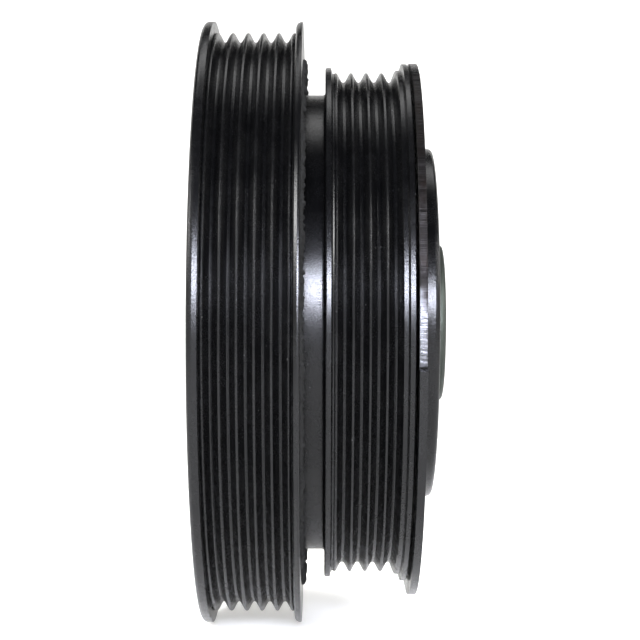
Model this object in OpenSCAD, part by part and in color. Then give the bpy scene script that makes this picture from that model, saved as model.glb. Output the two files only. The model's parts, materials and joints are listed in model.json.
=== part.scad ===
// Electromagnetic clutch with a two-step poly-V pulley.
// The shaft axis is X. X = 0 is the rear mounting face, and +X points to the hub at the front.
// Revolved parts are drawn about Z and laid down on X by along_x().

/* [Belt grooves] */
// Distance between neighbouring grooves
groove_pitch = 3.56; // [3.2:0.01:3.7]
// Included angle of a groove's flanks
groove_angle = 56; // [50:1:60]
// Depth of a groove, from the tooth tips down
groove_depth = 2.2; // [2:0.1:2.4]
// Rounding of the tooth tips
tip_round = 0.45; // [0.3:0.05:0.5]
// Number of grooves in the large sheave
large_grooves = 5; // [3:1:5]
// Number of grooves in the small sheave
small_grooves = 4; // [2:1:4]

/* [Large sheave] */
// Radius over the tooth tips
large_tip_r = 68.1; // [67.8:0.1:68.4]
// Radius over the two flanges
large_flange_r = 70.7; // [70.2:0.1:72]
// Rear face, measured from the mounting face
large_rear_x = -1.3; // [-2:0.1:-0.5]
// Centre of the first groove
large_first_groove_x = 3.4; // [3.3:0.1:3.6]
// Front face
large_front_x = 21.5; // [21.4:0.1:22]
// Bore of the ring, bonded to the rubber
large_bore_r = 62; // [61.8:0.1:62.4]

/* [Small sheave and drum] */
// Radius over the tooth tips
small_tip_r = 58.9; // [58.7:0.1:59.1]
// Radius of the front flange
small_front_flange_r = 61; // [60.6:0.1:61.5]
// Radius of the rear flange
small_rear_flange_r = 60.1; // [59.9:0.1:60.6]
// Rear face of the small sheave
small_rear_x = 26.7; // [26.5:0.1:26.9]
// Centre of the first groove
small_first_groove_x = 30.85; // [30.7:0.05:31]
// Friction face, which is also the front face of the pulley
friction_face_x = 45.6; // [45.4:0.1:46]
// Radius of the neck between the two sheaves
neck_r = 53.7; // [53.2:0.1:54.5]
// Radius of the seat that carries the rubber ring
rubber_seat_r = 58.5; // [58:0.1:59]
// Bore of the drum, pressed over the rotor
drum_bore_r = 51; // [50.8:0.1:51.5]
// How far the rubber stands proud of the large sheave's front face
rubber_bead = 0.9; // [0.3:0.1:1.2]

/* [Rotor] */
// Inner radius of the rotor's outer pole ring
rotor_pole_r = 48; // [47.8:0.1:48.4]
// Outer radius of the rotor's bearing tube
rotor_tube_r = 31; // [30.6:0.1:31.2]
// Thickness of the rotor's disc
rotor_disc_t = 5; // [4.5:0.1:5.5]
// Width of the magnetic slots
slot_w = 1.8; // [1.4:0.1:2.4]

/* [Bearing] */
// Bore radius of the double-row bearing
bearing_bore_r = 17.5; // [17.3:0.1:17.6]
// Outer radius of the bearing
bearing_outer_r = 27.5; // [27.4:0.1:27.6]
// Width of the bearing
bearing_w = 20; // [19.5:0.5:20]
// Rear face of the bearing
bearing_x = 20; // [20:0.1:20.2]
// Ball radius
ball_r = 3.3; // [3.1:0.1:3.3]
// Balls in each row
balls_per_row = 14; // [10:1:15]

/* [Field coil] */
// Inner radius of the coil shell
shell_inner_r = 31.6; // [31.5:0.1:31.8]
// Outer radius of the coil shell
shell_outer_r = 47.4; // [47.2:0.1:47.5]
// Rear face of the coil shell
shell_rear_x = 12; // [11.5:0.5:13]
// Front face of the coil shell
shell_front_x = 39.9; // [39.5:0.1:40]
// Wall of the coil shell
shell_wall = 2.4; // [2.2:0.1:2.6]
// Thickness of the mounting plate
plate_t = 3; // [2.5:0.5:3]
// Radius of the circle of mounting holes
bolt_circle_r = 27; // [26.8:0.1:27.2]
// Radius of a mounting hole
bolt_hole_r = 2.75; // [2.2:0.05:2.8]
// Number of mounting holes
bolt_count = 4; // [3:1:4]
// Radius of the register bore in the mounting face
register_r = 16; // [15.5:0.1:16.5]
// Depth of the register bore
register_depth = 4; // [3:0.5:6]

/* [Armature and hub] */
// Air gap between the friction face and the released armature
air_gap = 0.55; // [0.5:0.05:0.6]
// Thickness of the armature plate
armature_t = 1.7; // [1.6:0.1:2]
// Full outer radius of the armature plate
armature_r = 64.2; // [62:0.1:65]
// Outer radius along the sheared sector
armature_sheared_r = 61.1; // [60.5:0.1:61.5]
// Inner radius of the armature plate
armature_inner_r = 21; // [20.5:0.1:22]
// Outer radius of the hub disc
hub_disc_r = 41.2; // [41:0.1:43]
// Thickness of the hub disc
hub_disc_t = 2; // [1.8:0.1:2]
// Front face of the hub disc
hub_face_x = 51.75; // [51.5:0.05:52]
// Outer radius of the hub's boss
boss_r = 18.7; // [17:0.1:19]
// Front face of the boss
boss_front_x = 54.5; // [54.3:0.1:55]
// Radius of the shaft bore
shaft_bore_r = 8; // [7.5:0.5:8]
// Rear end of the hub's tube
hub_tube_rear_x = 24; // [23:0.5:25]
// Outer radius of the hub's tube
hub_tube_r = 12.5; // [12.2:0.1:13]

/* [Hidden] */

$fn = 96;
// How far a cutting tool runs past the face that it cuts
past = 1;
// Facets of the small round bars and of the balls
bar_fn = 48;
ball_fn = 32;

black_coat = [0.12, 0.12, 0.13];
bare_steel = [0.62, 0.62, 0.64];
zinc_steel = [0.55, 0.57, 0.55];
rubber_black = [0.05, 0.05, 0.05];
copper = [0.72, 0.4, 0.2];
resin = [0.25, 0.14, 0.08];
plastic = [0.16, 0.16, 0.17];
brass = [0.75, 0.62, 0.3];
lining = [0.3, 0.26, 0.2];

// Groove profile: tip arc, straight flank and root arc meet tangentially within half a pitch.
flank = groove_angle / 2;
arc_end = 90 - flank;
arc_steps = 4;
round_sum = (groove_pitch / 2 - groove_depth * tan(flank))
    / (sin(arc_end) - (1 - cos(arc_end)) * tan(flank));
root_round = round_sum - tip_round;

// Large sheave
flange_corner = 1.2;
rear_land_x = 0.95;
front_land_w = 1.5;
front_shoulder = [0.35, 0.3];
front_crown = [1, 0.8];
front_corner = 0.15;

// Drum and small sheave
drum_rear_x = large_rear_x + 0.5;
drum_step_x = large_front_x - 0.2;
neck_fillet = 0.6;
shoulder_fall = 0.25;
small_corner = 0.4;
small_land_w = 0.9;
small_step = [0.35, 0.1];
front_step_w = 1.15;
front_rise_w = 0.4;
front_step_r = 59.5;

// Rubber ring
rubber_rear_x = large_rear_x + 0.8;
rubber_front_x = large_front_x + rubber_bead;

// Rotor
rotor_rear_x = 10;
tube_rear_x = 18.5;
tube_lip_r = 25.5;
disc_rear_x = friction_face_x - rotor_disc_t;
lining_r = [38.2, 41.8];
lining_depth = 2;
inner_slot_r = 35.2;
outer_slot_r = 45;
rotor_slots = 6;
slot_angle = 46;
slot_end_extra = 0.15;
snap_x = bearing_x + bearing_w + 0.3;
snap_w = 1.3;
snap_groove_r = 28.7;
snap_bite = 1.6;
snap_eye_circle_r = 25.9;
snap_gap = 5;

// Retaining rings: play in their grooves, and the eyelets at their gaps
ring_play = 0.1;
eye_r = 1.7;
eye_hole_r = 0.8;
eye_lead = 4;

// Bearing
bearing_front_x = bearing_x + bearing_w;
ball_circle_r = (bearing_bore_r + bearing_outer_r) / 2;
race_clearance = 0.06;
race_land = 1.9;
inner_race_r = ball_circle_r - race_land;
outer_race_r = ball_circle_r + race_land;
rear_row_x = bearing_x + 5.4;
front_row_x = bearing_front_x - 5.4;
cage_t = 1.8;
cage_lip_w = 2;
cage_rim_w = 4.3;
pocket_r = ball_r + 0.12;
seal_w = 1;
seal_inset = 0.4;
seal_gap = 0.06;
race_chamfer = 0.6;

// Sleeve
sleeve_bore_r = 14;
sleeve_shoulder_r = 20;
sleeve_front_x = 43;
circlip_w = 1.2;
circlip_groove_r = 16.6;
circlip_x = bearing_front_x + ring_play;
circlip_outer_r = 19.4;
circlip_eye_circle_r = 18.9;
circlip_gap = 7;

// Coil
plate_flat_r = 31.8;
dish_r = 36;
dish_offset = 1;
first_hole = 45;
dish_depth = shell_rear_x - plate_t;
plate_outer_r = shell_outer_r - 0.1;
coil_rivet_circle_r = 39.6;
coil_rivet_count = 4;
coil_rivet_r = 1.6;
coil_rivet_head_r = 3;
coil_rivet_head_h = 1.2;
bobbin_wall = 1.2;
bobbin_play = 0.2;
coil_front_x = 37;
potting_front_x = 39.4;

// Terminals, at the rear of the dished plate and below the axis
terminal_r = 41.5;
block_size = [15, 8.4, 3.5];
blade_size = [6.3, 0.8, 4.8];
blade_spacing = 7.4;
blade_x = dish_depth - block_size[2];

// Armature
armature_x = friction_face_x + air_gap;
armature_front_x = armature_x + armature_t;
armature_slot_r = 43;
armature_slots = 3;
armature_slot_angle = 80;
// Clock angles of the sheared sector: from just above the far side, over the top,
// to just below the near side
sheared_from = 99;
sheared_to = 279;

// Leaf springs, three straps that join the hub disc to the armature
spring_count = 3;
spring_t = 0.4;
spring_w = 9;
hub_pin_r = 29;
hub_pin_angle = 20;
armature_pin_r = 34.5;
armature_pin_angle = 72;
pin_r = 2;
pin_play = 0.3;
head_r = 3.6;
head_h = 0.85;
head_clear_r = 5.5;
head_play = 0.1;
spring_x = armature_front_x;
bumper_circle_r = 32;
bumper_angle = 106;
bumper_r = 3;
bumper_foot_r = 4.5;
bumper_tail = 0.4;
bumper_inset = 0.2;

// Hub
disc_rear_face_x = hub_face_x - hub_disc_t;
cup_rim_w = 1.6;
cup_gap = 0.3;
disc_corner = 1;
spigot_r = 14.5;
nut_recess_r = 11;
nut_recess_depth = 5.5;
key_w = 5;
key_depth = 2.3;
boss_corner = 1.3;
shim_t = 0.4;
shim_count = 2;
shim_r = 12;
shim_play = 0.02;
shim_bore_r = shaft_bore_r + shim_play;

// Points of an arc about [r, x], from angle a0 to a1, where 0 points away from the shaft
function arc(r, x, radius, a0, a1, steps = arc_steps) = [
    for (i = [0 : steps])
        let (a = a0 + (a1 - a0) * i / steps)
            [r + radius * cos(a), x + radius * sin(a)]
];

// Root of one groove, from its rear flank to its front flank
function groove_root(tip_r, x) =
    arc(tip_r - groove_depth + root_round, x, root_round, 180 + arc_end, 180 - arc_end);

// Tip of one tooth
function tooth_tip(tip_r, x) = arc(tip_r - tip_round, x, tip_round, -arc_end, arc_end);

// A row of grooves with the teeth between them
function groove_row(tip_r, first_x, count) = [
    for (i = [0 : count - 1])
        for (p = concat(
            groove_root(tip_r, first_x + i * groove_pitch),
            i < count - 1 ? tooth_tip(tip_r, first_x + (i + 0.5) * groove_pitch) : []
        )) p
];

module along_x() {
    rotate([0, 90, 0]) children();
}

// A ring of rectangular section about X
module ring(inner_r, outer_r, x0, x1) {
    along_x() translate([0, 0, x0]) difference() {
        cylinder(r = outer_r, h = x1 - x0);
        translate([0, 0, -past]) cylinder(r = inner_r, h = x1 - x0 + 2 * past);
    }
}

// A body of revolution about X, from [radius, x] points
module turned(points) {
    along_x() rotate_extrude() polygon(points);
}

// A short round bar along X at a radius and a clock angle from the bottom
module bar(circle_r, angle, r, x0, x1) {
    along_x() rotate(angle) translate([circle_r, 0, x0]) cylinder(r = r, h = x1 - x0, $fn = bar_fn);
}

// The same bar repeated round the axis
module bars(circle_r, first_angle, count, r, x0, x1) {
    for (i = [0 : count - 1]) bar(circle_r, first_angle + i * 360 / count, r, x0, x1);
}

// A curved slot centred on a clock angle. Its round ends are a touch wider than the slot,
// as a punch leaves them, so no face is tangent to another.
module arc_slot(circle_r, width, middle, span, x0, x1) {
    along_x() rotate(middle - span / 2) translate([0, 0, x0])
        rotate_extrude(angle = span) translate([circle_r - width / 2, 0]) square([width, x1 - x0]);
    for (end = [-1, 1]) bar(circle_r, middle + end * span / 2, width / 2 + slot_end_extra, x0, x1);
}

// A spring steel retaining ring with an open gap and two eyelets
module retaining_ring(inner_r, outer_r, x0, width, eye_circle_r, gap_angle) {
    eye_angle = gap_angle + eye_lead;
    difference() {
        union() {
            ring(inner_r, outer_r, x0, x0 + width);
            for (side = [-1, 1]) bar(eye_circle_r, side * eye_angle, eye_r, x0, x0 + width);
        }
        along_x() translate([0, 0, x0 - past]) rotate(-gap_angle)
            rotate_extrude(angle = 2 * gap_angle) square([outer_r + past, width + 2 * past]);
        for (side = [-1, 1])
            bar(eye_circle_r, side * eye_angle, eye_hole_r, x0 - past, x0 + width + past);
    }
}

// ---- Field body: everything that stands still ----

// Bars at the four rivets that join the coil shell to the mounting plate
module coil_rivet_bars(r, x0, x1) {
    bars(coil_rivet_circle_r, first_hole, coil_rivet_count, r, x0, x1);
}

module mounting_plate() {
    color(zinc_steel) difference() {
        turned([
            [sleeve_shoulder_r, 0], [plate_flat_r, 0], [dish_r, dish_depth], [plate_outer_r, dish_depth],
            [plate_outer_r, shell_rear_x], [dish_r - dish_offset, shell_rear_x],
            [plate_flat_r - dish_offset, plate_t],
            [sleeve_shoulder_r, plate_t]
        ]);
        bars(bolt_circle_r, first_hole, bolt_count, bolt_hole_r, -past, plate_t + past);
        coil_rivet_bars(coil_rivet_r, dish_depth - past, shell_rear_x + past);
    }
}

module bearing_sleeve() {
    color(bare_steel) turned([
        [register_r, 0], [sleeve_shoulder_r, 0], [sleeve_shoulder_r, bearing_x],
        [bearing_bore_r, bearing_x], [bearing_bore_r, circlip_x],
        [circlip_groove_r, circlip_x], [circlip_groove_r, circlip_x + circlip_w],
        [bearing_bore_r, circlip_x + circlip_w], [bearing_bore_r, sleeve_front_x - race_chamfer],
        [bearing_bore_r - race_chamfer, sleeve_front_x], [sleeve_bore_r, sleeve_front_x],
        [sleeve_bore_r, register_depth], [register_r, register_depth]
    ]);
}

module coil_shell() {
    color(zinc_steel) difference() {
        turned([
            [shell_inner_r, shell_rear_x], [shell_outer_r, shell_rear_x],
            [shell_outer_r, shell_front_x], [shell_outer_r - shell_wall, shell_front_x],
            [shell_outer_r - shell_wall, shell_rear_x + plate_t],
            [shell_inner_r + shell_wall, shell_rear_x + plate_t],
            [shell_inner_r + shell_wall, shell_front_x], [shell_inner_r, shell_front_x]
        ]);
        coil_rivet_bars(coil_rivet_r, shell_rear_x - past, shell_rear_x + plate_t + past);
    }
}

module coil_bobbin() {
    inner = shell_inner_r + shell_wall + bobbin_play;
    outer = shell_outer_r - shell_wall - bobbin_play;
    rear = shell_rear_x + plate_t + bobbin_play;
    color(plastic) turned([
        [inner, rear], [outer, rear], [outer, rear + bobbin_wall],
        [inner + bobbin_wall, rear + bobbin_wall], [inner + bobbin_wall, coil_front_x - bobbin_wall],
        [outer, coil_front_x - bobbin_wall], [outer, coil_front_x], [inner, coil_front_x]
    ]);
}

module coil_winding() {
    inner = shell_inner_r + shell_wall + bobbin_play + bobbin_wall;
    outer = shell_outer_r - shell_wall - 3 * bobbin_play;
    rear = shell_rear_x + plate_t + bobbin_play + bobbin_wall;
    color(copper) ring(inner, outer, rear, coil_front_x - bobbin_wall);
}

module potting_ring() {
    inner = shell_inner_r + shell_wall;
    outer = shell_outer_r - shell_wall;
    color(resin) ring(inner, outer, coil_front_x, potting_front_x);
}

module coil_rivets() {
    color(zinc_steel) {
        coil_rivet_bars(coil_rivet_r, dish_depth - coil_rivet_head_h / 2, shell_rear_x + plate_t);
        coil_rivet_bars(coil_rivet_head_r, dish_depth - coil_rivet_head_h, dish_depth);
    }
}

module terminal_block() {
    color(plastic) along_x() translate([terminal_r, 0, blade_x]) difference() {
        translate([-block_size[1] / 2, -block_size[0] / 2, 0])
            cube([block_size[1], block_size[0], block_size[2]]);
        for (side = [-1, 1])
            translate([-blade_size[1] / 2, side * blade_spacing / 2 - blade_size[0] / 2, -past])
                cube([blade_size[1], blade_size[0], past + block_size[2] / 2]);
    }
}

module terminal_blades() {
    color(brass) along_x() translate([terminal_r, 0, blade_x]) for (side = [-1, 1])
        translate([-blade_size[1] / 2, side * blade_spacing / 2 - blade_size[0] / 2, -blade_size[2]])
            cube([blade_size[1], blade_size[0], blade_size[2] + block_size[2] / 2]);
}

module bearing_inner_race() {
    color(bare_steel) difference() {
        turned([
            [bearing_bore_r, bearing_x + race_chamfer], [bearing_bore_r + race_chamfer, bearing_x],
            [inner_race_r, bearing_x], [inner_race_r, bearing_front_x],
            [bearing_bore_r + race_chamfer, bearing_front_x],
            [bearing_bore_r, bearing_front_x - race_chamfer]
        ]);
        raceways();
    }
}

module sleeve_circlip() {
    color(bare_steel) retaining_ring(circlip_groove_r, circlip_outer_r, circlip_x,
        circlip_w - ring_play, circlip_eye_circle_r, circlip_gap);
}

// ---- Pulley body: everything that turns with the belts ----

module large_sheave() {
    tip = large_tip_r;
    first_lip_x = large_first_groove_x - groove_pitch / 2;
    last_lip_x = first_lip_x + large_grooves * groove_pitch;
    land_x = large_front_x - front_land_w;
    color(black_coat) turned(concat(
        [[large_bore_r, large_rear_x]],
        arc(large_flange_r - flange_corner, large_rear_x + flange_corner, flange_corner, -90, 0),
        [[large_flange_r, rear_land_x]],
        tooth_tip(tip, first_lip_x),
        groove_row(tip, large_first_groove_x, large_grooves),
        tooth_tip(tip, last_lip_x),
        [
            [large_flange_r - front_crown[1], land_x],
            [large_flange_r - front_shoulder[1], land_x + front_shoulder[0]],
            [large_flange_r, land_x + front_crown[0]],
            [large_flange_r, large_front_x - front_corner],
            [large_flange_r - front_corner, large_front_x], [large_bore_r, large_front_x]
        ]
    ));
}

module rubber_ring() {
    crown = (large_bore_r - rubber_seat_r) / 2;
    middle_r = rubber_seat_r + crown;
    color(rubber_black) turned(concat(
        [[rubber_seat_r, rubber_rear_x], [large_bore_r, rubber_rear_x], [large_bore_r, large_front_x]],
        arc(middle_r, rubber_front_x - crown / 2, crown / 2, 0, 180),
        [[rubber_seat_r, drum_step_x]]
    ));
}

module pulley_drum() {
    tip = small_tip_r;
    last_x = small_first_groove_x + (small_grooves - 1) * groove_pitch;
    first_lip_x = small_first_groove_x - groove_pitch / 2;
    land_x = small_rear_x + small_corner + small_land_w;
    step_x = last_x + groove_pitch / 2 - tip_round;
    color(black_coat) turned(concat(
        [
            [drum_bore_r, drum_rear_x], [rubber_seat_r, drum_rear_x], [rubber_seat_r, drum_step_x],
            [neck_r + neck_fillet, drum_step_x]
        ],
        arc(neck_r + neck_fillet, drum_step_x + neck_fillet, neck_fillet, 270, 180),
        arc(neck_r + neck_fillet, small_rear_x - neck_fillet, neck_fillet, 180, 90),
        arc(small_rear_flange_r - small_corner, small_rear_x + small_corner, small_corner, -90, 0),
        [[small_rear_flange_r, land_x], [tip - small_step[1], land_x + small_step[0]]],
        tooth_tip(tip, first_lip_x),
        groove_row(tip, small_first_groove_x, small_grooves),
        [
            [tip + shoulder_fall, step_x], [front_step_r, step_x + shoulder_fall],
            [front_step_r, step_x + front_step_w],
            [small_front_flange_r, step_x + front_step_w + front_rise_w],
            [small_front_flange_r, friction_face_x - small_corner / 2],
            [small_front_flange_r - small_corner / 2, friction_face_x], [drum_bore_r, friction_face_x]
        ]
    ));
}

module rotor() {
    slot_step = 360 / rotor_slots;
    slot_x0 = disc_rear_x - past;
    slot_x1 = friction_face_x + past;
    color(bare_steel) difference() {
        turned([
            [tube_lip_r, tube_rear_x], [rotor_tube_r, tube_rear_x], [rotor_tube_r, disc_rear_x],
            [rotor_pole_r, disc_rear_x], [rotor_pole_r, rotor_rear_x], [drum_bore_r, rotor_rear_x],
            [drum_bore_r, friction_face_x],
            [lining_r[1], friction_face_x], [lining_r[1], friction_face_x - lining_depth],
            [lining_r[0], friction_face_x - lining_depth], [lining_r[0], friction_face_x],
            [bearing_outer_r, friction_face_x], [bearing_outer_r, snap_x + snap_w],
            [snap_groove_r, snap_x + snap_w], [snap_groove_r, snap_x], [bearing_outer_r, snap_x],
            [bearing_outer_r, bearing_x], [tube_lip_r, bearing_x]
        ]);
        for (i = [0 : rotor_slots - 1]) {
            arc_slot(inner_slot_r, slot_w, i * slot_step, slot_angle, slot_x0, slot_x1);
            arc_slot(outer_slot_r, slot_w, (i + 0.5) * slot_step, slot_angle, slot_x0, slot_x1);
        }
    }
}

module friction_ring() {
    color(lining) ring(lining_r[0], lining_r[1], friction_face_x - lining_depth, friction_face_x);
}

module bearing_outer_race() {
    color(bare_steel) difference() {
        turned([
            [outer_race_r, bearing_x], [bearing_outer_r - race_chamfer, bearing_x],
            [bearing_outer_r, bearing_x + race_chamfer],
            [bearing_outer_r, bearing_front_x - race_chamfer],
            [bearing_outer_r - race_chamfer, bearing_front_x], [outer_race_r, bearing_front_x]
        ]);
        raceways();
    }
}

module bearing_seal(x) {
    ring(inner_race_r + seal_gap, outer_race_r, x, x + seal_w);
}

module bearing_seal_rear() {
    color(rubber_black) bearing_seal(bearing_x + seal_inset);
}

module bearing_seal_front() {
    color(rubber_black) bearing_seal(bearing_front_x - seal_inset - seal_w);
}

module bearing_snap_ring() {
    color(bare_steel) retaining_ring(bearing_outer_r - snap_bite, snap_groove_r - ring_play,
        snap_x + ring_play / 2, snap_w - ring_play, snap_eye_circle_r, snap_gap);
}

// ---- Ball set: the balls and cages, which creep round between the races ----

// Ring-shaped hollows that both races carry for the two rows of balls
module raceways() {
    along_x() for (x = [rear_row_x, front_row_x])
        translate([0, 0, x]) rotate_extrude() translate([ball_circle_r, 0])
            circle(r = ball_r + race_clearance);
}

module ball_row(x, r) {
    along_x() for (i = [0 : balls_per_row - 1])
        rotate(i * 360 / balls_per_row) translate([ball_circle_r, 0, x]) sphere(r = r, $fn = ball_fn);
}

module ball_row_rear() {
    color(bare_steel) ball_row(rear_row_x, ball_r);
}

module ball_row_front() {
    color(bare_steel) ball_row(front_row_x, ball_r);
}

// A crown cage whose closed rim lies between the two rows
module ball_cage(row_x, x0, x1) {
    color(brass) difference() {
        ring(ball_circle_r - cage_t / 2, ball_circle_r + cage_t / 2, x0, x1);
        ball_row(row_x, pocket_r);
    }
}

module ball_cage_rear() {
    ball_cage(rear_row_x, rear_row_x - cage_lip_w, rear_row_x + cage_rim_w);
}

module ball_cage_front() {
    ball_cage(front_row_x, front_row_x - cage_rim_w, front_row_x + cage_lip_w);
}

// ---- Hub body: turns with the shaft ----

// Bars at the springs' hub ends, at their armature ends, and at the bumpers
module hub_bars(r, x0, x1) {
    bars(hub_pin_r, hub_pin_angle, spring_count, r, x0, x1);
}

module armature_bars(r, x0, x1) {
    bars(armature_pin_r, armature_pin_angle, spring_count, r, x0, x1);
}

module bumper_bars(r, x0, x1) {
    bars(bumper_circle_r, bumper_angle, spring_count, r, x0, x1);
}

module hub_boss() {
    key_len = disc_rear_face_x - hub_tube_rear_x;
    color(zinc_steel) difference() {
        turned(concat(
            [
                [shaft_bore_r, hub_tube_rear_x], [hub_tube_r, hub_tube_rear_x],
                [hub_tube_r, disc_rear_face_x], [spigot_r, disc_rear_face_x], [spigot_r, hub_face_x],
                [boss_r, hub_face_x]
            ],
            arc(boss_r - boss_corner, boss_front_x - boss_corner, boss_corner, 0, 90),
            [
                [nut_recess_r, boss_front_x], [nut_recess_r, boss_front_x - nut_recess_depth],
                [shaft_bore_r, boss_front_x - nut_recess_depth]
            ]
        ));
        along_x() translate([0, -key_w / 2, hub_tube_rear_x - past])
            cube([shaft_bore_r + key_depth, key_w, key_len + past]);
    }
}

module hub_disc() {
    rim_x = armature_front_x + cup_gap;
    x0 = disc_rear_face_x - past;
    x1 = hub_face_x + past;
    color(black_coat) difference() {
        turned(concat(
            [
                [spigot_r, disc_rear_face_x], [hub_disc_r - cup_rim_w, disc_rear_face_x],
                [hub_disc_r - cup_rim_w, rim_x], [hub_disc_r, rim_x]
            ],
            arc(hub_disc_r - disc_corner, hub_face_x - disc_corner, disc_corner, 0, 90),
            [[spigot_r, hub_face_x]]
        ));
        hub_bars(pin_r, x0, x1);
        hub_bars(head_r, hub_face_x - head_h, x1);
        bumper_bars(bumper_r, x0, x1);
        armature_bars(head_r + pin_play, x0, x1);
    }
}

module hub_rivets() {
    color(bare_steel) {
        hub_bars(pin_r, spring_x - head_play - head_h / 2, hub_face_x - head_h / 2);
        hub_bars(head_r, hub_face_x - head_h, hub_face_x - head_play);
        hub_bars(head_r, spring_x + spring_t + head_play, disc_rear_face_x);
        hub_bars(head_r, spring_x - head_play - head_h, spring_x - head_play);
    }
}

module stop_bumpers() {
    color(rubber_black) {
        bumper_bars(bumper_r, disc_rear_face_x - bumper_tail, hub_face_x - bumper_inset);
        bumper_bars(bumper_foot_r, armature_front_x + cup_gap, disc_rear_face_x);
    }
}

module gap_shims() {
    color(bare_steel) for (i = [1 : shim_count])
        let (rear_x = hub_tube_rear_x - i * shim_t)
            ring(shim_bore_r, shim_r, rear_x, rear_x + shim_t - shim_play);
}

// ---- Armature body: slides on the hub across the air gap ----

module armature_plate() {
    slot_step = 360 / armature_slots;
    x0 = armature_x - past;
    x1 = armature_front_x + past;
    color(black_coat) difference() {
        union() {
            ring(armature_inner_r, armature_sheared_r, armature_x, armature_front_x);
            along_x() rotate(sheared_to) translate([0, 0, armature_x])
                rotate_extrude(angle = 360 + sheared_from - sheared_to)
                    translate([armature_sheared_r - past, 0])
                        square([armature_r - armature_sheared_r + past, armature_t]);
        }
        for (i = [0 : armature_slots - 1])
            arc_slot(armature_slot_r, slot_w, i * slot_step, armature_slot_angle, x0, x1);
        hub_bars(head_clear_r, x0, x1);
        armature_bars(pin_r, x0, x1);
        armature_bars(head_r, x0, armature_x + head_h);
    }
}

module armature_rivets() {
    color(bare_steel) {
        armature_bars(pin_r, armature_x + head_h / 2, spring_x + spring_t + head_h / 2);
        armature_bars(head_r, armature_x + head_play, armature_x + head_h);
        armature_bars(head_r, spring_x + spring_t, spring_x + spring_t + head_h);
    }
}

module leaf_spring() {
    hub_end = hub_pin_r * [cos(hub_pin_angle), sin(hub_pin_angle)];
    far_end = armature_pin_r * [cos(armature_pin_angle), sin(armature_pin_angle)];
    span = far_end - hub_end;
    along_x() translate([hub_end[0], hub_end[1], spring_x]) rotate(atan2(span[1], span[0]))
    difference() {
        union() {
            translate([0, -spring_w / 2, 0]) cube([norm(span), spring_w, spring_t]);
            cylinder(r = spring_w / 2, h = spring_t);
            translate([norm(span), 0, 0]) cylinder(r = spring_w / 2, h = spring_t);
        }
        translate([0, 0, -past]) cylinder(r = pin_r + pin_play, h = spring_t + 2 * past);
        translate([norm(span), 0, -past]) cylinder(r = pin_r, h = spring_t + 2 * past);
    }
}

module leaf_springs() {
    color(bare_steel) for (i = [0 : spring_count - 1])
        rotate([i * 360 / spring_count, 0, 0]) leaf_spring();
}

mounting_plate();
bearing_sleeve();
coil_shell();
coil_bobbin();
coil_winding();
potting_ring();
coil_rivets();
terminal_block();
terminal_blades();
bearing_inner_race();
sleeve_circlip();
large_sheave();
rubber_ring();
pulley_drum();
rotor();
friction_ring();
bearing_outer_race();
bearing_seal_rear();
bearing_seal_front();
bearing_snap_ring();
ball_row_rear();
ball_row_front();
ball_cage_rear();
ball_cage_front();
hub_boss();
hub_disc();
hub_rivets();
stop_bumpers();
gap_shims();
armature_plate();
armature_rivets();
leaf_springs();
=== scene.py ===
"""Looks of the electromagnetic clutch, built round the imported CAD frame.

Metres, shaft axis along X, +X to the front hub, +Z up. The camera looks along +Y.
"""

import json
import math

import bpy
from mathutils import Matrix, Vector, noise


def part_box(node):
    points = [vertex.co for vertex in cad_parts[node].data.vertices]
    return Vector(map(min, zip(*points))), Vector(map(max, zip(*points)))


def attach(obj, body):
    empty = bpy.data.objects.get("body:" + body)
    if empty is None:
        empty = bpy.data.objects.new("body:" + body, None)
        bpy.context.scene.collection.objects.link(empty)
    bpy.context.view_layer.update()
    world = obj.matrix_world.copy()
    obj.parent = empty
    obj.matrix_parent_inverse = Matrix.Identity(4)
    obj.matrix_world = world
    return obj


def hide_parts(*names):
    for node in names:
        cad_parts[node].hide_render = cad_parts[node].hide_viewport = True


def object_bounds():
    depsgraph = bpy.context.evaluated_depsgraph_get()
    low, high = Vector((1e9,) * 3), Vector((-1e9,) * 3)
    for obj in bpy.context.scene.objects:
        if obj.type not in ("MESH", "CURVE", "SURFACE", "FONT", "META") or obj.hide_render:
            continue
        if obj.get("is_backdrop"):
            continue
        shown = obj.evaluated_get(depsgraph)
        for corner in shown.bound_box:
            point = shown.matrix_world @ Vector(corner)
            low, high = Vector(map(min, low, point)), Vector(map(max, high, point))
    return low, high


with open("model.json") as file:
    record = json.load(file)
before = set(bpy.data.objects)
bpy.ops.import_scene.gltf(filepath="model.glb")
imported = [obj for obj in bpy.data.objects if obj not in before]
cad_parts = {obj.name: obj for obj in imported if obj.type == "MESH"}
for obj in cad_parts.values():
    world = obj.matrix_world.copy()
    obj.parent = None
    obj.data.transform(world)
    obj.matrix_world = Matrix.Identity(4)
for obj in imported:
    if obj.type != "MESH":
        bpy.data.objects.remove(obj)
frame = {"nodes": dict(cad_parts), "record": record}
cad_low, cad_high = (tuple(v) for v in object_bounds())

MM = 0.001

# ---------------------------------------------------------------- measures from the frame


def radius_of(node):
    """Largest radius of a node about the shaft axis."""
    low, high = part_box(node)
    return max(high[2], -low[2], high[1], -low[1])


RUBBER_LOW, RUBBER_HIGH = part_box("rubber_ring")
RUBBER_R = radius_of("rubber_ring")
RUBBER_WALL = 3.5 * MM
SHEAVE_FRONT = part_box("large_sheave")[1][0]
PLATE_LOW, PLATE_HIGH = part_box("armature_plate")
# The plate's full radius shows at its lowest point; the shear took this much off the near upper side
SHEARED_OFF = 3.1 * MM
SHEARED_R = -PLATE_LOW[2] - SHEARED_OFF

# ---------------------------------------------------------------- node helpers


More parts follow.
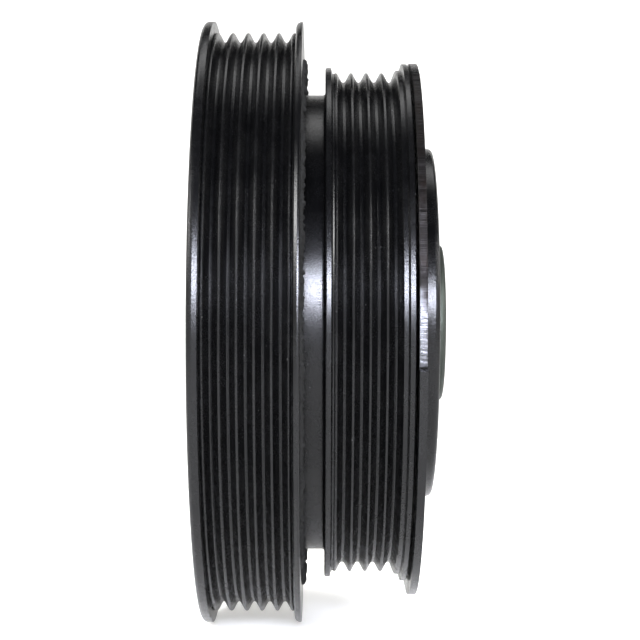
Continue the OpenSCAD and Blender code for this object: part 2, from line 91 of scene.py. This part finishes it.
class Graph:
    """A material's node tree, with short ways to add nodes and sockets."""

    def __init__(self, name):
        self.material = bpy.data.materials.new(name)
        self.material.use_nodes = True
        self.tree = self.material.node_tree
        self.tree.nodes.clear()
        self.out = self.tree.nodes.new("ShaderNodeOutputMaterial")
        self.shader = self.add("BsdfPrincipled")
        self.link(self.shader.outputs[0], self.out.inputs["Surface"])

    def add(self, kind, **values):
        node = self.tree.nodes.new("ShaderNode" + kind)
        for key, value in values.items():
            setattr(node, key, value)
        return node

    def link(self, source, target):
        self.tree.links.new(source, target)

    def feed(self, socket, value):
        """Sets a socket to a number or colour, or links it to another socket."""
        if isinstance(value, bpy.types.NodeSocket):
            self.link(value, socket)
        elif isinstance(value, tuple) and len(value) == 3 and socket.type == "RGBA":
            socket.default_value = (*value, 1.0)
        else:
            socket.default_value = value

    def math(self, operation, a, b=0.0):
        node = self.add("Math", operation=operation)
        self.feed(node.inputs[0], a)
        self.feed(node.inputs[1], b)
        return node.outputs[0]

    def combine(self, x, y, z):
        node = self.add("CombineXYZ")
        for socket, value in zip(node.inputs, (x, y, z)):
            self.feed(socket, value)
        return node.outputs[0]

    def coords(self):
        """x along the shaft, radius from it and angle round it (0 on the near side, up positive)."""
        where = self.add("TexCoord").outputs["Object"]
        split = self.add("SeparateXYZ")
        self.link(where, split.inputs[0])
        x, y, z = split.outputs
        radius = self.math("SQRT", self.math("ADD", self.math("MULTIPLY", y, y), self.math("MULTIPLY", z, z)))
        angle = self.math("ARCTAN2", z, self.math("MULTIPLY", y, -1.0))
        return where, x, radius, angle

    def noise(self, vector, scale, detail=2.0, roughness=0.5):
        node = self.add("TexNoise")
        self.feed(node.inputs["Vector"], vector)
        node.inputs["Scale"].default_value = scale
        node.inputs["Detail"].default_value = detail
        node.inputs["Roughness"].default_value = roughness
        return node.outputs["Fac"]

    def cells(self, vector, scale):
        """Distance to the nearest of a scatter of points."""
        node = self.add("TexVoronoi")
        self.feed(node.inputs["Vector"], vector)
        node.inputs["Scale"].default_value = scale
        return node.outputs["Distance"]

    def turning_marks(self, x, radius, angle, scale, along_cut, detail):
        """Noise drawn out round the axis, as a lathe tool leaves it."""
        across_x = self.math("MULTIPLY", x, scale)
        across_radius = self.math("MULTIPLY", radius, scale)
        around = self.math("MULTIPLY", angle, along_cut)
        return self.noise(self.combine(across_x, across_radius, around), 1.0, detail)

    def ramp(self, value, low, high, out_low=0.0, out_high=1.0):
        node = self.add("MapRange", clamp=True)
        self.feed(node.inputs["Value"], value)
        node.inputs["From Min"].default_value = low
        node.inputs["From Max"].default_value = high
        node.inputs["To Min"].default_value = out_low
        node.inputs["To Max"].default_value = out_high
        return node.outputs[0]

    def mix(self, factor, a, b):
        node = self.add("Mix", data_type="RGBA")
        self.feed(node.inputs["Factor"], factor)
        self.feed(node.inputs[6], a)
        self.feed(node.inputs[7], b)
        return node.outputs[2]

    def bump(self, height, strength, distance, normal=None):
        node = self.add("Bump")
        node.inputs["Strength"].default_value = strength
        node.inputs["Distance"].default_value = distance
        self.feed(node.inputs["Height"], height)
        if normal is not None:
            self.link(normal, node.inputs["Normal"])
        return node.outputs["Normal"]

    def finish(self, color, roughness, metallic=0.0, normal=None, ior=1.5):
        self.feed(self.shader.inputs["Base Color"], color)
        self.feed(self.shader.inputs["Roughness"], roughness)
        self.feed(self.shader.inputs["Metallic"], metallic)
        self.shader.inputs["IOR"].default_value = ior
        if normal is not None:
            self.link(normal, self.shader.inputs["Normal"])
        return self.material


# ---------------------------------------------------------------- materials

COAT_IOR = 1.42


def black_coat(name, lift=1.0):
    """Satin black electro-coat: orange peel, faint turning lines, dust and small glossy specks."""
    g = Graph(name)
    where, x, radius, angle = g.coords()
    peel = g.noise(where, 3000.0, 3.0, 0.65)
    speckle = g.ramp(g.noise(where, 5200.0, 2.0, 0.6), 0.52, 0.72, 0.0, 0.09)
    blotch = g.noise(where, 160.0, 3.0)
    lathe = g.turning_marks(x, radius, angle, 9000.0, 1.5, 2.0)
    dust = g.ramp(g.cells(where, 620.0), 0.05, 0.10, 1.0, 0.0)
    dust = g.math("MULTIPLY", dust, g.ramp(g.noise(where, 300.0, 1.0), 0.62, 0.66))
    dark = tuple(c * lift for c in (0.0025, 0.0025, 0.0028))
    pale = tuple(c * lift for c in (0.0050, 0.0050, 0.0052))
    base = g.mix(g.ramp(blotch, 0.35, 0.7), dark, pale)
    color = g.mix(g.math("MULTIPLY", dust, 0.55), base, (0.26, 0.26, 0.25))
    rough = g.math("ADD", g.ramp(blotch, 0.3, 0.7, 0.19, 0.25), g.math("MULTIPLY", peel, 0.10))
    rough = g.math("SUBTRACT", rough, speckle)
    normal = g.bump(peel, 0.45, 0.00007)
    normal = g.bump(lathe, 0.10, 0.00003, normal)
    return g.finish(color, rough, 0.0, normal, COAT_IOR)


def sheared_steel():
    """Steel torn by a shear, with rust and tick marks further up; its colour carries a painted highlight low
    down, where the front lamp reflects, and painted shade further up.
    """
    g = Graph("sheared_steel")
    where, x, radius, angle = g.coords()
    across_cut = g.combine(g.math("MULTIPLY", x, 260.0), g.math("MULTIPLY", angle, 190.0), 0.0)
    streak = g.noise(across_cut, 1.0, 4.0, 0.7)
    grain = g.noise(where, 3400.0, 4.0, 0.7)
    rust = g.noise(where, 240.0, 3.0)
    across_ticks = g.combine(g.math("MULTIPLY", x, 60.0), g.math("MULTIPLY", angle, 420.0), 0.0)
    tick = g.noise(across_ticks, 1.0, 2.0)
    # painted highlight: lighter steel colour for the low part, where the front lamp reflects
    raw_steel_painted_highlight = g.mix(g.ramp(streak, 0.35, 0.7), (0.07, 0.07, 0.075), (0.17, 0.172, 0.182))
    # painted shade: darker steel colour for the part further up, with tick marks and rust
    dull_rust_painted_shade = g.mix(g.ramp(tick, 0.5, 0.68), (0.010, 0.009, 0.009), (0.070, 0.066, 0.066))
    dull_rust_painted_shade = g.mix(g.ramp(rust, 0.5, 0.75, 0.0, 0.7), dull_rust_painted_shade, (0.016, 0.011, 0.009))
    wander = g.math("MULTIPLY", g.math("SUBTRACT", rust, 0.5), 0.12)
    # painted highlight and shade: this mask turns the colour from light low down to dark above the angle
    painted_shade_above = g.ramp(g.math("ADD", angle, wander), 0.05, 0.11)
    color = g.mix(painted_shade_above, raw_steel_painted_highlight, dull_rust_painted_shade)
    rough = g.math("ADD", g.ramp(streak, 0.3, 0.7, 0.16, 0.30), g.math("MULTIPLY", grain, 0.12))
    rough = g.math("ADD", rough, g.math("MULTIPLY", painted_shade_above, 0.20))
    normal = g.bump(streak, 0.6, 0.00012)
    normal = g.bump(grain, 0.4, 0.00004, normal)
    return g.finish(color, rough, 0.9, normal)


def plain_steel(name, tint, rough):
    """Machined or drawn steel with fine turning marks."""
    g = Graph(name)
    where, x, radius, angle = g.coords()
    turned = g.turning_marks(x, radius, angle, 4000.0, 2.0, 3.0)
    stain = g.noise(where, 120.0, 4.0)
    dark = tuple(c * 0.72 for c in tint)
    color = g.mix(g.ramp(stain, 0.3, 0.75), tint, dark)
    stained = g.ramp(stain, 0.3, 0.7, rough - 0.06, rough + 0.08)
    roughness = g.math("ADD", stained, g.math("MULTIPLY", turned, 0.1))
    return g.finish(color, roughness, 1.0, g.bump(turned, 0.25, 0.00003))


def moulded(name, tint, rough, grain=3000.0):
    """Rubber, nylon, resin and lining: a mottled non-metal with a fine grain."""
    g = Graph(name)
    where = g.coords()[0]
    fine = g.noise(where, grain, 4.0, 0.6)
    wide = g.noise(where, 140.0, 3.0)
    pale = tuple(min(1.0, c * 1.7 + 0.004) for c in tint)
    color = g.mix(g.ramp(wide, 0.35, 0.75), tint, pale)
    roughness = g.math("ADD", rough, g.math("MULTIPLY", fine, 0.15))
    return g.finish(color, roughness, 0.0, g.bump(fine, 0.4, 0.00006))


MATERIALS = {
    "black_coat": black_coat("black_coat"),
    "armature_coat": black_coat("armature_coat", 1.3),
    "bare_steel": plain_steel("bare_steel", (0.52, 0.52, 0.53), 0.32),
    "bearing_steel": plain_steel("bearing_steel", (0.62, 0.62, 0.63), 0.16),
    "spring_steel": plain_steel("spring_steel", (0.26, 0.26, 0.29), 0.28),
    "zinc_steel": plain_steel("zinc_steel", (0.40, 0.41, 0.38), 0.42),
    "rubber": moulded("rubber", (0.0025, 0.0025, 0.0025), 0.78),
    "plastic": moulded("plastic", (0.02, 0.02, 0.021), 0.45),
    "resin": moulded("resin", (0.07, 0.035, 0.018), 0.22, 1200.0),
    "copper_wire": plain_steel("copper_wire", (0.70, 0.30, 0.14), 0.25),
    "brass": plain_steel("brass", (0.72, 0.53, 0.24), 0.3),
    "lining": moulded("lining", (0.10, 0.08, 0.065), 0.8),
}

NODE_MATERIALS = {
    "hub_boss": plain_steel("phosphated_steel", (0.085, 0.095, 0.085), 0.46),
}


def dress_cad_nodes():
    for part in frame["record"]["subparts"]:
        node = frame["nodes"][part["node"]]
        node.data.materials.clear()
        material = NODE_MATERIALS.get(part["node"], MATERIALS[part["material_slot"]])
        node.data.materials.append(material)


dress_cad_nodes()

# ---------------------------------------------------------------- mesh pieces


def on_ring(x, radius, angle):
    """A point from its place along the shaft, its radius, and its angle up from the near side."""
    return (x, -radius * math.cos(angle), radius * math.sin(angle))


def loft(name, sections, material, closed_round):
    """A closed solid through sections of equal length, each a closed loop of points."""
    count = len(sections[0])
    vertices = [point for section in sections for point in section]
    spans = len(sections) if closed_round else len(sections) - 1
    faces = []
    for i in range(spans):
        here, there = i * count, (i + 1) % len(sections) * count
        for j in range(count):
            k = (j + 1) % count
            faces.append((here + j, here + k, there + k, there + j))
    if not closed_round:
        faces.append(tuple(reversed(range(count))))
        faces.append(tuple(range(spans * count, (spans + 1) * count)))
    mesh = bpy.data.meshes.new(name)
    mesh.from_pydata(vertices, [], faces)
    mesh.validate()
    for polygon in mesh.polygons:
        polygon.use_smooth = True
    mesh.materials.append(material)
    piece = bpy.data.objects.new(name, mesh)
    bpy.context.collection.objects.link(piece)
    return piece


def fractal(point, scale, octaves=3):
    """Smooth seeded noise between about -1 and 1 at a point in metres."""
    return noise.fractal(Vector(point) * scale, 1.0, 2.0, octaves)


def make_rubber_bead():
    """The bonded rubber ring, whose squeezed-out front lip is torn and crumbly."""
    steps, lip_points = 1500, 11
    proud = RUBBER_HIGH[0] - SHEAVE_FRONT
    inner = RUBBER_R - RUBBER_WALL
    sections = []
    for i in range(steps):
        angle = 2 * math.pi * i / steps
        section = [
            on_ring(RUBBER_LOW[0], inner, angle), on_ring(RUBBER_LOW[0], RUBBER_R, angle),
            on_ring(SHEAVE_FRONT - 0.5 * MM, RUBBER_R, angle),
        ]
        for j in range(lip_points):
            across = j / (lip_points - 1)
            radius = RUBBER_R - across * RUBBER_WALL
            plain = on_ring(SHEAVE_FRONT, radius, angle)
            wave = fractal(plain, 170.0)
            crumb = max(0.0, fractal(plain, 900.0, 4) - 0.04)
            height = math.sin(math.pi * across) ** 0.5 * (0.66 + 0.46 * wave) + 1.0 * crumb
            height = min(1.22, max(0.02, height))
            radius += 0.3 * MM * fractal(plain, 1300.0) * math.sin(math.pi * across)
            section.append(on_ring(SHEAVE_FRONT + proud * height, radius, angle))
        section.append(on_ring(SHEAVE_FRONT - 0.5 * MM, inner, angle))
        sections.append(section)
    piece = loft("rubber_bead", sections, MATERIALS["rubber"], True)
    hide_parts("rubber_ring")
    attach(piece, "pulley")


def make_sheared_rim():
    """The torn edge that the shear left along the armature plate, with its burr and a nick."""
    first, last, nick = math.radians(-8.7), math.radians(66.5), math.radians(63.5)
    steps, across_points, fade_steps = 900, 9, 8
    thick = PLATE_HIGH[0] - PLATE_LOW[0]
    sections = []
    for i in range(steps + 1):
        angle = first + (last - first) * i / steps
        fade = min(1.0, i / fade_steps, (steps - i) / fade_steps)
        section = []
        for j in range(across_points):
            across = j / (across_points - 1)
            x = PLATE_LOW[0] + thick * across
            plain = on_ring(x, SHEARED_R, angle)
            torn = 0.05 + 0.05 * fractal((angle * 0.06, x * 0.35, 0.0), 900.0, 4)
            torn += 0.05 * max(0.0, fractal(plain, 1500.0))
            burr = max(0.0, 0.14 + 0.16 * fractal((angle * 0.06, 0.0, 0.3), 1500.0))
            torn += burr * max(0.0, 1.0 - (1.0 - across) * 6.0)
            gouge = math.exp(-((angle - nick) / math.radians(0.7)) ** 2)
            lips = math.exp(-((abs(angle - nick) - math.radians(1.5)) / math.radians(0.35)) ** 2)
            torn += 0.28 * lips - 0.03 * gouge
            section.append(on_ring(x, SHEARED_R + fade * max(0.012, torn) * MM, angle))
        section.append(on_ring(PLATE_HIGH[0], SHEARED_R - 0.15 * MM, angle))
        section.append(on_ring(PLATE_LOW[0], SHEARED_R - 0.15 * MM, angle))
        sections.append(section)
    piece = loft("sheared_rim", sections, sheared_steel(), False)
    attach(piece, "armature")


make_rubber_bead()
make_sheared_rim()

# ---------------------------------------------------------------- stage, lights and camera

CAMERA_DISTANCE = 0.437
OPTICAL_AXIS_X = 0.0265
CAMERA_ROLL = math.radians(-0.15)
SENSOR = 36.0
LENS = 103.03
LENS_SHIFT = (-0.0062, 0.0033)
LIGHT_TARGET = (0.027, 0.0, 0.0)
VIEW_GAMMA = 0.85


def make_camera():
    data = bpy.data.cameras.new("camera")
    data.lens = LENS
    data.sensor_width = SENSOR
    data.shift_x, data.shift_y = LENS_SHIFT
    data.clip_start = 0.01
    data.clip_end = 20.0
    camera = bpy.data.objects.new("camera", data)
    camera.location = (OPTICAL_AXIS_X, -CAMERA_DISTANCE, 0.0)
    camera.rotation_euler = (math.pi / 2, CAMERA_ROLL, 0.0)
    bpy.context.collection.objects.link(camera)
    bpy.context.scene.camera = camera


def soft_light(name, location, size, power, color=(1.0, 1.0, 1.0), spread=180):
    data = bpy.data.lights.new(name, "AREA")
    data.shape = "RECTANGLE"
    data.size, data.size_y = size
    data.energy = power
    data.color = color
    data.spread = math.radians(spread)
    light = bpy.data.objects.new(name, data)
    light.location = location
    light.rotation_euler = (Vector(LIGHT_TARGET) - Vector(location)).to_track_quat("-Z", "Y").to_euler()
    light.visible_camera = False
    bpy.context.collection.objects.link(light)


def make_stage():
    """A pale round floor that sweeps up into a low wall all round the object."""
    floor_z = cad_low[2] - 0.2 * MM
    reach, bend, wall_top = 1.5, 0.4, 0.95
    profile = [(0.0, 0.0), (0.4, 0.0), (reach - bend, 0.0)]
    steps, spokes = 14, 96
    for i in range(1, steps + 1):
        a = math.pi / 2 * i / steps
        profile.append((reach - bend + bend * math.sin(a), bend * (1 - math.cos(a))))
    profile.append((reach, wall_top))
    vertices = [(0.0, 0.0, floor_z)]
    for radius, height in profile[1:]:
        for k in range(spokes):
            turn = 2 * math.pi * k / spokes
            vertices.append((radius * math.cos(turn), radius * math.sin(turn), floor_z + height))
    faces = [(0, 1 + k, 1 + (k + 1) % spokes) for k in range(spokes)]
    for ring in range(len(profile) - 2):
        here, there = 1 + ring * spokes, 1 + (ring + 1) * spokes
        for k in range(spokes):
            m = (k + 1) % spokes
            faces.append((here + k, there + k, there + m, here + m))
    mesh = bpy.data.meshes.new("floor")
    mesh.from_pydata(vertices, [], faces)
    for polygon in mesh.polygons:
        polygon.use_smooth = True
    floor = bpy.data.objects.new("floor", mesh)
    bpy.context.collection.objects.link(floor)
    g = Graph("pale_floor")
    where = g.add("TexCoord").outputs["Object"]
    tone = g.mix(g.noise(where, 3.0, 2.0), (0.76, 0.76, 0.755), (0.80, 0.80, 0.795))
    g.shader.inputs["Emission Color"].default_value = (1.0, 0.99, 0.97, 1.0)
    g.shader.inputs["Emission Strength"].default_value = 0.55
    floor.data.materials.append(g.finish(tone, 0.8))
    floor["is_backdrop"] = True


def make_world():
    world = bpy.data.worlds.new("studio")
    world.use_nodes = True
    background = world.node_tree.nodes["Background"]
    background.inputs["Color"].default_value = (0.95, 0.96, 1.0, 1.0)
    background.inputs["Strength"].default_value = 0.02
    bpy.context.scene.world = world


make_camera()
make_stage()
make_world()
soft_light("key_front", (0.03, -0.75, 0.205), (0.34, 0.17), 1.65, (0.84, 0.87, 1.0), 60)
for side, light_x in (("left", -0.80), ("right", 0.80)):
    soft_light("side_" + side, (light_x, -0.50, 0.55), (0.45, 0.45), 2.8, spread=80)
soft_light("rear_top", (0.0, 0.45, 1.15), (1.3, 0.45), 5.0)

bpy.context.scene.view_settings.view_transform = "Standard"
bpy.context.scene.view_settings.gamma = VIEW_GAMMA
